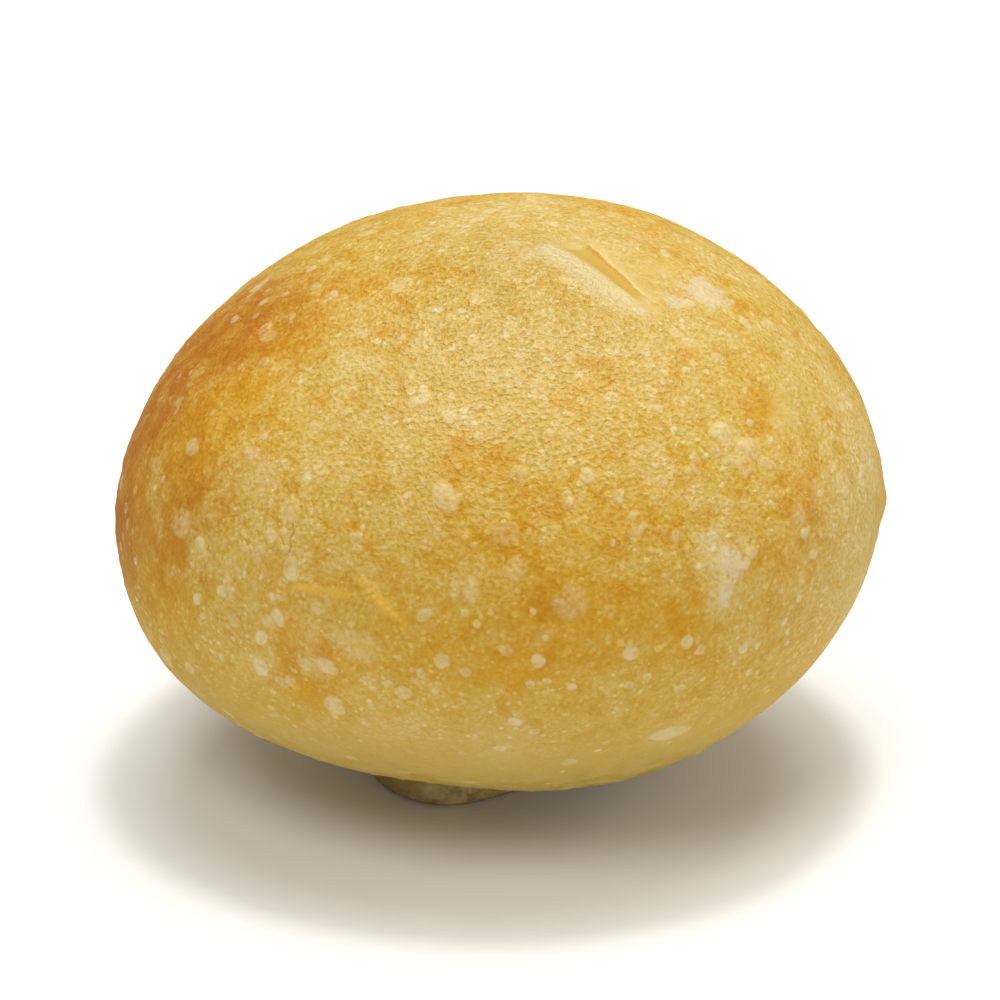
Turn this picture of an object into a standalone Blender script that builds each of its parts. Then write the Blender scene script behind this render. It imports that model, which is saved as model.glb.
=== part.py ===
"""A small round sourdough roll: one plump, slightly lopsided loaf of crust and crumb.

The crown, flanks and underside are an oval ball. Low, wide swells make it lopsided, a torn
groove and a few dimples sit in the crust, and a short tapered foot carries it.
"""

import math

import bmesh
import bpy
from mathutils import Vector

# Driving sizes, in metres
WIDTH = 0.072
DEPTH = 0.068
HEIGHT = 0.0555
FOOT_DROP = 0.0023  # from the ball's lowest point down to the flat base
FOOT_RADIUS = 0.0089
FOOT_CENTRE = (-0.0036, -0.0004)

# Mesh rings: the last few belong to the foot
SEGMENTS_ROUND = 68
RINGS = 44
FOOT_RINGS = 4

# Foot profile below the crease, ring by ring: share of its radius, share of its height
FOOT_PROFILE = ((1.03, 0.52), (0.98, 0.14), (0.90, 0.0), (0.0, 0.0))
# Foot outline: waves round it, their share of the radius, and where each crest lies in degrees
FOOT_WAVES = ((2, 0.06, 240), (3, 0.04, 250), (5, 0.012, 40))

# Swells (+) and hollows (-): azimuth, elevation and spread in degrees, height in metres
SWELLS = (
    (196, -28, 25, 0.0019),
    (168, 25, 26, -0.0013),
    (-48, -55, 18, 0.0006),
    (-6, -16, 18, -0.0007),
    (8, 18, 20, -0.0006),
    (-140, -56, 16, -0.0006),
    (75, 20, 34, 0.0005),
    (115, -20, 30, -0.0004),
    (-75, 8, 26, 0.0003),
    (40, 55, 20, 0.0004),
)
# Torn groove over the crown: its two ends in degrees, half width and depth in metres
GROOVE = {"start": (-8, 78), "end": (-34, 57), "half_width": 0.0022, "depth": 0.0007}
# Dimples in the crust: azimuth and elevation in degrees, radius and depth in metres
DIMPLES = (
    (118, 48, 0.0030, 0.0006),
    (205, 42, 0.0024, 0.0004),
    (55, 5, 0.0028, 0.0005),
)

CRUST_COLOUR = (0.61, 0.39, 0.092, 1.0)
CRUST_ROUGHNESS = 0.42

HALF_WIDTH = WIDTH / 2
HALF_DEPTH = DEPTH / 2
HALF_BALL = (HEIGHT - FOOT_DROP) / 2
BALL_CENTRE = FOOT_DROP + HALF_BALL


def clear_scene():
    for obj in list(bpy.data.objects):
        bpy.data.objects.remove(obj, do_unlink=True)


def direction_of(azimuth, elevation):
    """Unit vector from the ball's centre: azimuth 0 is +X, 90 is +Y."""
    a, e = math.radians(azimuth), math.radians(elevation)
    return Vector((math.cos(e) * math.cos(a), math.cos(e) * math.sin(a), math.sin(e)))


def bell(distance, width):
    return math.exp(-((distance / width) ** 2))


def swell_height(direction):
    """How far the wide swells and hollows move the crust in this direction."""
    return sum(
        height * bell(direction.angle(direction_of(azimuth, elevation)), math.radians(spread))
        for azimuth, elevation, spread, height in SWELLS
    )


def dent_depth(direction):
    """How far the groove and the dimples press the crust in."""
    start, end = direction_of(*GROOVE["start"]), direction_of(*GROOVE["end"])
    along = end - start
    share = min(1.0, max(0.0, (direction - start).dot(along) / along.length_squared))
    off_groove = (direction - start - along * share).length * HALF_BALL
    depth = GROOVE["depth"] * bell(off_groove, GROOVE["half_width"])
    for azimuth, elevation, radius, dimple_depth in DIMPLES:
        off_dimple = direction.angle(direction_of(azimuth, elevation)) * HALF_WIDTH
        depth += dimple_depth * bell(off_dimple, radius)
    return depth


def foot_outline(angle):
    """The foot's radius at this angle round it, as a share of its mean radius."""
    return 1 + sum(
        share * math.cos(waves * (angle - math.radians(crest)))
        for waves, share, crest in FOOT_WAVES
    )


def ball_point(polar, angle, foot_polar):
    """A point on the oval ball. Towards the foot the rings slide over to its centre and outline."""
    slide = max(0.0, (polar - math.pi / 2) / (foot_polar - math.pi / 2)) ** 2
    oval = 1 + (foot_outline(angle) - 1) * slide
    x = HALF_WIDTH * math.sin(polar) * math.cos(angle) * oval + FOOT_CENTRE[0] * slide
    y = HALF_DEPTH * math.sin(polar) * math.sin(angle) * oval + FOOT_CENTRE[1] * slide
    if polar <= math.pi / 2:
        return Vector((x, y, BALL_CENTRE + HALF_BALL * math.cos(polar)))
    inside = max(0.0, 1 - (x / HALF_WIDTH) ** 2 - (y / HALF_DEPTH) ** 2)
    return Vector((x, y, BALL_CENTRE - HALF_BALL * math.sqrt(inside)))


def crust_point(polar, angle, foot_polar):
    """The ball with its swells and dents."""
    point = ball_point(polar, angle, foot_polar)
    direction = (point - Vector((0, 0, BALL_CENTRE))).normalized()
    return point + direction * (swell_height(direction) - dent_depth(direction))


def foot_point(ring, angle, foot_polar):
    """A point of the foot, on one of the rings below its crease."""
    crease = crust_point(foot_polar, angle, foot_polar)
    wide, high = FOOT_PROFILE[ring]
    x = FOOT_CENTRE[0] + (crease.x - FOOT_CENTRE[0]) * wide
    y = FOOT_CENTRE[1] + (crease.y - FOOT_CENTRE[1]) * wide
    return Vector((x, y, crease.z * high))


def shape_vertex(unit):
    """Where a vertex of the unit sphere goes on the roll."""
    step = math.pi / RINGS
    foot_polar = math.pi - math.asin(FOOT_RADIUS / HALF_WIDTH)
    last_ball_ring = RINGS - FOOT_RINGS
    ring = round(math.acos(max(-1.0, min(1.0, unit.z))) / step)
    angle = math.atan2(unit.y, unit.x)
    if ring > last_ball_ring:
        return foot_point(ring - last_ball_ring - 1, angle, foot_polar)
    return crust_point(ring / last_ball_ring * foot_polar, angle, foot_polar)


def fit_to_size(mesh):
    """Centres the mesh over the origin, with its base at zero height, and makes its box exact."""
    lows = [min(v.co[k] for v in mesh.verts) for k in range(3)]
    highs = [max(v.co[k] for v in mesh.verts) for k in range(3)]
    middle = ((lows[0] + highs[0]) / 2, (lows[1] + highs[1]) / 2, lows[2])
    for v in mesh.verts:
        for k, size in enumerate((WIDTH, DEPTH, HEIGHT)):
            v.co[k] = (v.co[k] - middle[k]) * size / (highs[k] - lows[k])


def crust_material():
    material = bpy.data.materials.new("crust")
    material.use_nodes = True
    shader = material.node_tree.nodes["Principled BSDF"]
    shader.inputs["Base Color"].default_value = CRUST_COLOUR
    shader.inputs["Roughness"].default_value = CRUST_ROUGHNESS
    shader.inputs["Metallic"].default_value = 0.0
    return material


def make_roll(collection):
    sphere = bmesh.new()
    bmesh.ops.create_uvsphere(
        sphere, u_segments=SEGMENTS_ROUND, v_segments=RINGS, radius=1.0
    )
    for v in sphere.verts:
        v.co = shape_vertex(v.co)
    fit_to_size(sphere)
    bmesh.ops.triangulate(sphere, faces=sphere.faces)
    bmesh.ops.recalc_face_normals(sphere, faces=sphere.faces)
    mesh = bpy.data.meshes.new("roll")
    sphere.to_mesh(mesh)
    sphere.free()
    mesh.shade_smooth()
    mesh.materials.append(crust_material())
    roll = bpy.data.objects.new("roll", mesh)
    collection.objects.link(roll)
    return roll


def main():
    clear_scene()
    collection = bpy.data.collections.new("sourdough_roll")
    bpy.context.scene.collection.children.link(collection)
    make_roll(collection)


main()
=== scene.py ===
import math

import bmesh
import bpy
import numpy as np
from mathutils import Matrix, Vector
from mathutils.bvhtree import BVHTree


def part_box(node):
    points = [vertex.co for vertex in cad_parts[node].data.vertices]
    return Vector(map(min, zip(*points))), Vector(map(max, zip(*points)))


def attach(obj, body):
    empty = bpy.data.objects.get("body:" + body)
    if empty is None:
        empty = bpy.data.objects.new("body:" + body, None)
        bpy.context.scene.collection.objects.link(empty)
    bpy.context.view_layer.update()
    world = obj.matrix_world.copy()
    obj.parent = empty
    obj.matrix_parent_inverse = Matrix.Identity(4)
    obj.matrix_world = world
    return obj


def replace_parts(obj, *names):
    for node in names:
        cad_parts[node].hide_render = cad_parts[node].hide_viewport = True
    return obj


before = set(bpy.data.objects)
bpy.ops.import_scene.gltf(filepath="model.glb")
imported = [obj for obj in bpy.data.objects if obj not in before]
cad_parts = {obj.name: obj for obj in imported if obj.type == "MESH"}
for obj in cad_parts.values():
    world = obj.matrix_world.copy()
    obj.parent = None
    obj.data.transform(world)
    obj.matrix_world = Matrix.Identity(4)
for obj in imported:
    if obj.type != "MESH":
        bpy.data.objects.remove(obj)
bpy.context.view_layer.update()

# where the roll is, from the frame
boxLow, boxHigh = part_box("roll")
rollSize = boxHigh - boxLow
rollRadius = rollSize.x / 2
heartShare = 0.52  # the plump part's middle is a little over halfway up, because of the foot
heart = Vector((0, 0, boxLow.z + rollSize.z * heartShare))
mm = 0.001


# node trees written as plain expressions


class Wire:
    # one output socket; sums on it add Math nodes to its tree
    def __init__(self, tree, socket):
        self.tree, self.socket = tree, socket

    def output(self, name):
        return Wire(self.tree, self.socket.node.outputs[name])

    def maths(self, operation, first, second):
        return self.tree.add("ShaderNodeMath", {"operation": operation}, {0: first, 1: second})

    def __add__(self, other):
        return self.maths("ADD", self, other)

    def __radd__(self, other):
        return self.maths("ADD", other, self)

    def __sub__(self, other):
        return self.maths("SUBTRACT", self, other)

    def __rsub__(self, other):
        return self.maths("SUBTRACT", other, self)

    def __mul__(self, other):
        return self.maths("MULTIPLY", self, other)

    def __rmul__(self, other):
        return self.maths("MULTIPLY", other, self)

    def __truediv__(self, other):
        return self.maths("DIVIDE", self, other)

    def __pow__(self, other):
        return self.maths("POWER", self, other)

    def atMost(self, other):
        return self.maths("MINIMUM", self, other)

    def atLeast(self, other):
        return self.maths("MAXIMUM", self, other)

    def clamped(self):
        return self.tree.add("ShaderNodeClamp", {}, {"Value": self})

    def ramp(self, start, end):
        # 0 at start, 1 at end, eased at both
        settings = {"interpolation_type": "SMOOTHSTEP"}
        sockets = {"Value": self, "From Min": start, "From Max": end}
        return self.tree.add("ShaderNodeMapRange", settings, sockets)


class Tree:
    # a node tree with one way to add any node to it
    def __init__(self, nodes, links):
        self.nodes, self.links = nodes, links

    def add(self, kind, settings=None, sockets=None, output=0):
        node = self.nodes.new(kind)
        for name, value in (settings or {}).items():
            setattr(node, name, value)
        for name, value in (sockets or {}).items():
            if isinstance(value, Wire):
                self.links.new(value.socket, node.inputs[name])
            else:
                node.inputs[name].default_value = value
        return Wire(self, node.outputs[output]) if node.outputs else None

    def mixColour(self, amount, first, second):
        settings = {"data_type": "RGBA"}
        return self.add("ShaderNodeMix", settings, {0: amount, 6: first, 7: second}, 2)

    def noise(self, place, size, detail=2.0, roughness=0.5, distortion=0.0):
        sockets = {
            "Vector": place,
            "Scale": 1 / size,
            "Detail": detail,
            "Roughness": roughness,
            "Distortion": distortion,
        }
        return self.add("ShaderNodeTexNoise", {}, sockets)

    def cells(self, place, size):
        sockets = {"Vector": place, "Scale": 1 / size}
        return self.add("ShaderNodeTexVoronoi", {"feature": "F1"}, sockets)

    def split(self, vector):
        return self.add("ShaderNodeSeparateXYZ", {}, {"Vector": vector})

    def scaled(self, vector, amount):
        sockets = {"Vector": vector, "Scale": amount}
        return self.add("ShaderNodeVectorMath", {"operation": "SCALE"}, sockets)

    def sum(self, first, second):
        return self.add("ShaderNodeVectorMath", {"operation": "ADD"}, {0: first, 1: second})

    def unit(self, vector):
        return self.add("ShaderNodeVectorMath", {"operation": "NORMALIZE"}, {0: vector})

    def dot(self, first, second):
        settings = {"operation": "DOT_PRODUCT"}
        return self.add("ShaderNodeVectorMath", settings, {0: first, 1: second}, "Value")


def srgb(red, green, blue):
    # a screen colour in 0..255 as a linear shader colour
    def linear(value):
        share = value / 255
        return share / 12.92 if share <= 0.04045 else ((share + 0.055) / 1.055) ** 2.4

    return (linear(red), linear(green), linear(blue), 1.0)


def addObject(name, data):
    obj = bpy.data.objects.new(name, data)
    bpy.context.scene.collection.objects.link(obj)
    return obj


def treeOf(holder):
    holder.nodes.clear()
    return Tree(holder.nodes, holder.links)


# directions and places on the roll


def directionOf(azimuth, elevation):
    a, e = math.radians(azimuth), math.radians(elevation)
    return Vector((math.cos(e) * math.cos(a), math.cos(e) * math.sin(a), math.sin(e)))


def pointsOf(mesh):
    points = np.empty(len(mesh.vertices) * 3)
    mesh.vertices.foreach_get("co", points)
    return points.reshape(-1, 3)


def directionsOf(points):
    away = points - np.array(heart)
    return away / np.linalg.norm(away, axis=1, keepdims=True)


def reach(directions, spot, radius):
    # a bell round a spot on the crust: its radius is in metres along the surface
    centre = np.array(directionOf(*spot))
    angle = np.arccos(np.clip(directions @ centre, -1, 1))
    return np.exp(-((angle * rollRadius / radius) ** 2))


def reachLine(directions, start, end):
    # metres to a line between two spots, signed metres across it, and the share along it
    first, last = np.array(directionOf(*start)), np.array(directionOf(*end))
    along = last - first
    share = np.clip((directions - first) @ along / (along @ along), 0, 1)
    off = directions - first - share[:, None] * along
    across = np.cross(along, (first + last) / 2)
    across /= np.linalg.norm(across)
    return np.linalg.norm(off, axis=1) * rollRadius, off @ across * rollRadius, share


# the crust's own mesh

crustBuild = {
    "mergeDistance": 0.005 * mm,
    "joinAngle": math.radians(40),
    "subdivisions": 2,
    "voxel": 0.47 * mm,
    "smoothing": 14,
    "smoothingFactor": 0.5,
    "fineMargin": 0.09,  # how far past the groove's ends the faces are made smaller, in radii
}

crustDents = {
    "groove": {
        "start": (-24.5, 73.0),
        "end": (-38.0, 55.5),
        "halfWidth": 1.95 * mm,
        "taper": 0.6,
        "depth": 0.42 * mm,
        "steepSide": 0.22 * mm,
        "bedRun": 1.4 * mm,
        "lipHeight": 0.12 * mm,
        "lipPlace": 0.4 * mm,
        "lipWidth": 0.45 * mm,
        "endReach": 1.8,
    },
    # spots a fold passes through, its half width and its height
    "folds": (
        (((-111.5, 8.5), (-110, 7), (-106.5, 4.5), (-104.5, 2.5)), 0.34 * mm, 0.2 * mm),
        (((-122.5, 5.5), (-118, 6), (-113, 6)), 0.34 * mm, 0.12 * mm),
        (((-52.5, 63.5), (-35.5, 54), (-25, 45.5)), 1.3 * mm, 0.16 * mm),
        (((150, 30), (162, 24), (170, 15)), 0.5 * mm, 0.15 * mm),
    ),
    # fine cracks that meet at one spot: start, end, darkness
    "cracks": (
        ((-124.1, 15.3), (-123.9, 10.7), 0.6),
        ((-126, 12.4), (-124, 10.6), 0.3),
        ((-120.9, 12.9), (-123.5, 10.4), 0.2),
        ((-127.4, 10.2), (-124.1, 10.4), 0.25),
        ((-122.8, 10.3), (-121.8, 8.3), 0.35),
    ),
    # azimuth, elevation, radius, depth
    "dimples": (
        (118, 48, 2.2 * mm, 0.35 * mm),
        (205, 42, 1.8 * mm, 0.3 * mm),
        (55, 5, 2.0 * mm, 0.3 * mm),
        (-64, 23.5, 1.0 * mm, 0.25 * mm),
        (-114.5, 0, 3.0 * mm, 0.2 * mm),
        (-33, 46, 1.2 * mm, 0.2 * mm),
        # small bumps
        (-5, 0.5, 1.5 * mm, -0.32 * mm),
        (-12, -22, 2.0 * mm, -0.25 * mm),
        (-170, -30, 2.2 * mm, -0.25 * mm),
    ),
    "footTop": 4.6 * mm,
    "footBlend": 1.2 * mm,
    "footScale": 1.05,
    "footShift": (-0.4 * mm, 0.0),
}


def smoothCopyOfFrame():
    # the frame's loose triangles are merged, rounded off and given an even, fine mesh
    build = bmesh.new()
    build.from_mesh(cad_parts["roll"].data)
    bmesh.ops.remove_doubles(build, verts=build.verts, dist=crustBuild["mergeDistance"])
    limit = crustBuild["joinAngle"]
    bmesh.ops.join_triangles(
        build, faces=build.faces, angle_face_threshold=limit, angle_shape_threshold=limit
    )
    mesh = bpy.data.meshes.new("crust")
    build.to_mesh(mesh)
    build.free()
    mesh.materials.clear()
    crust = addObject("crust", mesh)
    rounding = crust.modifiers.new("rounding", "SUBSURF")
    rounding.levels = rounding.render_levels = crustBuild["subdivisions"]
    evenMesh = crust.modifiers.new("evenMesh", "REMESH")
    evenMesh.mode = "VOXEL"
    evenMesh.voxel_size = crustBuild["voxel"]
    evenMesh.use_smooth_shade = True
    smoothing = crust.modifiers.new("smoothing", "SMOOTH")
    smoothing.factor = crustBuild["smoothingFactor"]
    smoothing.iterations = crustBuild["smoothing"]
    return crust


def settle(obj):
    # the evaluated shape becomes the object's plain mesh, and its modifiers go
    graph = bpy.context.evaluated_depsgraph_get()
    mesh = bpy.data.meshes.new_from_object(obj.evaluated_get(graph), depsgraph=graph)
    old = obj.data
    obj.modifiers.clear()
    obj.data = mesh
    mesh.name = obj.name
    bpy.data.meshes.remove(old)
    mesh.shade_smooth()
    return obj


def foldHeight(directions, spots, halfWidth, height):
    off = np.min([reachLine(directions, a, b)[0] for a, b in zip(spots, spots[1:])], axis=0)
    return height * np.exp(-((off / halfWidth) ** 2))


def refineGroove(crust):
    # smaller faces where the groove's sides are steep
    build = bmesh.new()
    build.from_mesh(crust.data)
    groove = crustDents["groove"]
    first, last = (directionOf(*groove[end]) for end in ("start", "end"))
    middle, most = (first + last) / 2, (last - first).length / 2 + crustBuild["fineMargin"]
    near = [
        face
        for face in build.faces
        if ((face.calc_center_median() - heart).normalized() - middle).length < most
    ]
    edges = list({edge for face in near for edge in face.edges})
    bmesh.ops.subdivide_edges(build, edges=edges, cuts=1, use_grid_fill=True, smooth=0.0)
    build.to_mesh(crust.data)
    build.free()


def pressDents(crust):
    mesh = crust.data
    points = pointsOf(mesh)
    directions = directionsOf(points)
    groove = crustDents["groove"]
    off, across, share = reachLine(directions, groove["start"], groove["end"])
    ends = np.exp(-((off / (groove["halfWidth"] * groove["endReach"])) ** 6))
    wide = groove["halfWidth"] * (1 - share * groove["taper"])
    # a steep side, then a bed that rises gently away from it
    steep = 1 / (1 + np.exp(-(across + wide) / groove["steepSide"]))
    rising = np.clip((across + wide) / (wide * 2 + groove["bedRun"]), 0, 1)
    slope = 1 - rising**2 * (3 - 2 * rising)
    depth = groove["depth"] * steep * slope * ends
    lip = np.exp(-(((across + wide + groove["lipPlace"]) / groove["lipWidth"]) ** 2))
    depth -= groove["lipHeight"] * lip * ends
    for spots, halfWidth, height in crustDents["folds"]:
        depth -= foldHeight(directions, spots, halfWidth, height)
    for azimuth, elevation, radius, dimpleDepth in crustDents["dimples"]:
        depth += dimpleDepth * reach(directions, (azimuth, elevation), radius)
    points -= directions * depth[:, None]
    # rounding the mesh shrank the foot: it is laid back on the frame's own foot
    graph = bpy.context.evaluated_depsgraph_get()
    ownShape = BVHTree.FromObject(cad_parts["roll"], graph)
    for k in np.nonzero(points[:, 2] < crustDents["footTop"])[0]:
        own = np.array(ownShape.find_nearest(Vector(points[k]))[0])
        share = min(1.0, (crustDents["footTop"] - points[k, 2]) / crustDents["footBlend"])
        own[:2] = own[:2] * crustDents["footScale"] + crustDents["footShift"]
        points[k] += (own - points[k]) * share
    mesh.vertices.foreach_set("co", points.ravel())
    mesh.update()


# colour patches, painted on every piece of the skin as attributes

crustPatches = {
    # azimuth, elevation, radius in millimetres, strength
    "toastAndShade": (  # browned; the strong ones on the left flank are also painted shade
        (-173.5, 14.5, 5, 1), (-172.5, 30.5, 7, 0.9), (-164.5, 2.5, 5.5, 1),
        (-152.5, 19.5, 6, 1), (-150, 34, 6, 1), (-149.5, -6.5, 4.6, 0.4), (-148, 1, 3.6, 1),
        (-148, 46.5, 5, 0.9), (-147, 77.5, 2.5, 0.7), (-142, 58.5, 4, 0.6), (-135, 20, 3.4, 0.3),
        (-134.5, 20.5, 3.4, 0.45), (-126, 48.5, 4, 0.5), (-125, 5.5, 2.2, 1),
        (-124, -22, 2.6, 0.41), (-123, -1, 1.8, 1), (-122, -12.5, 2.6, 0.9), (-121, -5, 2.4, 1),
        (-118, 10.5, 2.6, 0.25), (-117.5, 12, 2.6, 0.3), (-115.5, -5, 2, 0.9),
        (-107, 6.5, 4, 0.5), (-100.5, 17.5, 4.6, 0.41), (-100, 22, 4.6, 0.35),
        (-98.5, -1, 4, 0.5), (-97.5, 30, 3, 0.5), (-97, 35.5, 6, 0.23), (-92.5, 30, 3, 0.3),
        (-92, 12.5, 3.4, 0.3), (-88, -4, 3.5, 0.65), (-85.5, 17, 3, 0.8), (-82.5, 5.5, 4.5, 0.85),
        (-81.5, 0.5, 6, 0.31), (-77, -6.5, 5, 0.25), (-76, 18, 4, 0.6), (-76, 23.5, 3.4, 0.46),
        (-76, 24, 3.4, 0.35), (-74.5, 37.5, 4, 0.55), (-73, 4.5, 3.5, 0.6), (-68.5, 38, 3, 0.3),
        (-66.5, 17, 3, 0.5), (-62.5, 2, 4, 0.75), (-59, 20, 2.6, 0.4), (-47.5, 57.5, 6, 0.23),
        (-46, 21, 2, 0.5), (-44, 41, 2.5, 0.5), (-43.5, 3.5, 3.6, 0.9), (-36.5, 28, 3, 0.8),
        (-36, 12.5, 4.4, 1), (-35.5, 7.5, 3.4, 0.35), (-34.5, 7.5, 3.4, 0.36),
        (-12.5, 41.5, 2, 0.4), (4.5, 66.5, 2.6, 0.9), (8.5, 59, 2.4, 0.9), (19, 63.5, 4.6, 0.4),
        (21, 34, 3, 0.7), (40, 12, 8, 0.8), (58, 22, 3.5, 0.7), (75, -5, 5, 0.6),
        (95, 30, 9, 0.8), (112, 8, 3, 0.8), (120, -12, 6, 0.6), (133.5, 50.5, 4, 0.6),
        (150, 12, 7, 0.8), (170.5, 30.5, 4, 0.8),
    ),
    "deepAndShade": (  # darkest brown; on the left flank it is also painted shade
        (-179, 30.5, 9, 0.8), (-169, 18.5, 8, 0.8), (-165.5, 0.5, 6, 0.7), (-163, 40, 8, 0.7),
        (-149, 3, 3, 0.4), (-145, 12.5, 5, 0.5), (-121, -5.5, 2.4, 0.3), (-82.5, 5.5, 3.4, 0.2),
        (-36, 10.5, 3.4, 0.35), (45, 20, 4, 0.35), (112, 18, 6, 0.4), (178, 2, 9, 0.8),
    ),
    "creamAndHighlight": (  # hardly browned; the broad ones on the crown's front are also a painted highlight
        (-172.5, 76.5, 6, 0.6), (-141, 6, 1.8, 0.6), (-135, 20, 4, 0.6), (-132, -2.5, 6, 0.33),
        (-129.5, -9.5, 1.3, 1), (-129, 7, 3.4, 0.3), (-125.5, 23, 3, 0.45),
        (-125, -25.5, 4, 0.35), (-125, 9.5, 2.6, 0.25), (-124.5, 11, 1.2, 0.6),
        (-123.5, 45.5, 8, 0.45), (-120, 30.5, 2.6, 0.33), (-119, -7.5, 1.5, 0.8),
        (-118.5, -0.5, 4, 0.3), (-115.5, 12, 3, 0.35), (-115.5, 21.5, 4.6, 0.28),
        (-108.5, -17, 5, 0.5), (-108, 11.5, 2.6, 0.25), (-107.5, 32, 4.5, 0.5),
        (-101, 18.5, 3, 0.35), (-100, 42.5, 8, 0.5), (-96.5, 9.5, 1.5, 0.6),
        (-90.5, 63, 2.6, 0.3), (-90, -20.5, 5, 0.5), (-87, 44.5, 8, 0.5), (-83.5, 2, 1.1, 0.5),
        (-83, 19.5, 3.4, 0.3), (-76, 76, 6, 0.5), (-74, -9.5, 3, 0.35), (-71.5, 51.5, 6, 0.45),
        (-69.5, 29.5, 2.6, 0.2), (-64, 59, 8, 0.3), (-63, 25.5, 2, 0.75), (-60, -22, 2.8, 0.7),
        (-57, 20, 2, 0.5), (-56.5, 37, 4, 0.5), (-55, 4.5, 1.7, 0.9), (-55, 9.5, 2.2, 1),
        (-52.5, 16, 2.6, 0.32), (-51.5, 63.5, 1.8, 0.7), (-49, 71.5, 1.6, 0.8),
        (-47, 25.5, 1.8, 0.85), (-46.5, 54, 1.6, 0.8), (-45.5, -4, 4, 0.3), (-43.5, 4, 6, 0.36),
        (-42.5, 44.5, 6, 0.51), (-41.5, 33, 3, 0.3), (-40, 71, 2, 1), (-34, -10, 6, 0.45),
        (-34, 20, 3.4, 0.34), (-34, 64.5, 8, 0.35), (-31.5, 52.5, 3.4, 0.35), (-31, 42, 3, 0.4),
        (-29, 8, 5, 0.5), (-28.5, 25, 4, 0.5), (-24.5, -3, 5, 0.7), (-22.5, 48.5, 2.2, 1),
        (-22, -7.5, 4, 0.6), (-19, 5.5, 6, 0.2), (-18.5, 6, 6, 0.26), (-18, 71.5, 8, 0.35),
        (-16.5, 13.5, 5, 0.7), (-16, 32.5, 4, 0.5), (-14.5, 10.5, 4, 0.95),
        (-11.5, 21.5, 4, 0.6), (-2, 70.5, 4, 0.4), (6.5, 46, 6, 0.55), (22, 69, 4, 0.7),
        (30, -6, 5, 0.6), (48, 4, 2, 0.8), (60, 45, 5, 0.6), (61, 81, 5, 0.6),
        (69.5, 73, 5, 0.95), (84, 18, 2.5, 0.8), (100, 0, 5, 0.6), (125, 35, 5, 0.6),
        (140, 2, 2.5, 0.7), (149, 82, 4.5, 0.9), (160, 22, 2, 0.8), (170, -15, 5, 0.6),
    ),
    "torn": (  # whitish, where the skin tore
        (-57, 13, 1.3, 0.7), (-55, 3.5, 1.5, 0.85), (-53.5, 8.5, 1.9, 0.9), (-44, 52.5, 1.2, 0.8),
        (-31.5, 51, 1.5, 0.9), (-18.5, 49, 3.4, 1), (46, 14, 3, 1), (80, -16, 1.8, 0.9),
        (96, 32, 2.4, 1), (146, 14, 2.6, 1), (174.5, 41, 2, 0.9),
    ),
    "calm": (  # smooth skin with hardly any grain
        (-111.5, -2, 1.8, 0.6), (-32.5, 26, 2, 0.6), (-18.5, 58.5, 2.8, 0.8),
    ),
    "oily": ((-81.5, 62.5), 22 * mm),
    "soleTop": 3.4 * mm,  # the foot's rough pale skin ends here
    "soleBlend": 0.8 * mm,
    "seamShadeWidth": 0.45 * mm,
    "undersideTop": 27 * mm,  # the crust has hardly browned below this
    "upperStart": 16 * mm,
    "upperBlend": 24 * mm,
    "footShade": (-11 * mm, 4.5 * mm),  # painted shade on the foot's darkest side: where it is on x, its half width
    "grooveCalm": 0.95,
    "grooveReach": 1.7,
}


def paintPatches(obj):
    mesh, patches, groove = obj.data, crustPatches, crustDents["groove"]
    points = pointsOf(mesh)
    directions = directionsOf(points)
    values = {}
    for kind in ("toastAndShade", "deepAndShade", "creamAndHighlight", "torn"):
        rest = np.ones(len(points))
        for azimuth, elevation, radius, strength in patches[kind]:
            rest *= 1 - strength * reach(directions, (azimuth, elevation), radius * mm)
        values[kind] = 1 - rest
    off = reachLine(directions, groove["start"], groove["end"])[0]
    ends = np.exp(-((off / (groove["halfWidth"] * patches["grooveReach"])) ** 3))
    values["calm"] = ends * patches["grooveCalm"]
    for azimuth, elevation, radius, strength in patches["calm"]:
        near = strength * reach(directions, (azimuth, elevation), radius * mm)
        values["calm"] = np.maximum(values["calm"], near)
    height = points[:, 2]
    values["sole"] = np.clip((patches["soleTop"] - height) / patches["soleBlend"], 0, 1)
    # a painted shade line where the plump body meets the foot
    values["seamShade"] = np.exp(-(((height - patches["soleTop"]) / patches["seamShadeWidth"]) ** 2))
    values["underside"] = np.clip(1 - height / patches["undersideTop"], 0, 1)
    values["upper"] = np.clip((height - patches["upperStart"]) / patches["upperBlend"], 0, 1)
    values["oily"] = reach(directions, *patches["oily"])
    # only the two sharp folds in front are tinted
    sharp = crustDents["folds"][:2]
    folds = [foldHeight(directions, *fold) for fold in sharp]
    values["folded"] = np.max(folds, axis=0) / sharp[0][2]
    # painted shade on the foot, darkest round one place on x
    place, halfWidth = patches["footShade"]
    values["footShade"] = values["sole"] * np.exp(-(((points[:, 0] - place) / halfWidth) ** 2))
    for name, value in values.items():
        layer = mesh.attributes.get(name) or mesh.attributes.new(name, "FLOAT", "POINT")
        layer.data.foreach_set("value", value.astype(np.float32))


# bubbles under the skin: one pattern for the relief, the bumps and the colour

bubbles = {
    # least and most are radii as a share of the spacing, share is how many places hold one
    "fine": {"spacing": 0.62 * mm, "least": 0.22, "most": 0.5, "share": 0.6, "rise": 0.035 * mm},
    "middle": {"spacing": 1.15 * mm, "least": 0.2, "most": 0.46, "share": 0.42, "rise": 0.05 * mm},
    "wide": {"spacing": 2.4 * mm, "least": 0.16, "most": 0.4, "share": 0.3},
    "crowdSize": 7.0 * mm,
    "warpSize": 0.9,
    "warp": 0.22,
}


def warped(tree, place, size, amount):
    # the place pushed about by a soft noise, so that round cells become uneven
    push = tree.sum(tree.noise(place, size, 1.0).output("Color"), (-0.5, -0.5, -0.5))
    return tree.sum(place, tree.scaled(push, amount * 2))


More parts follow.
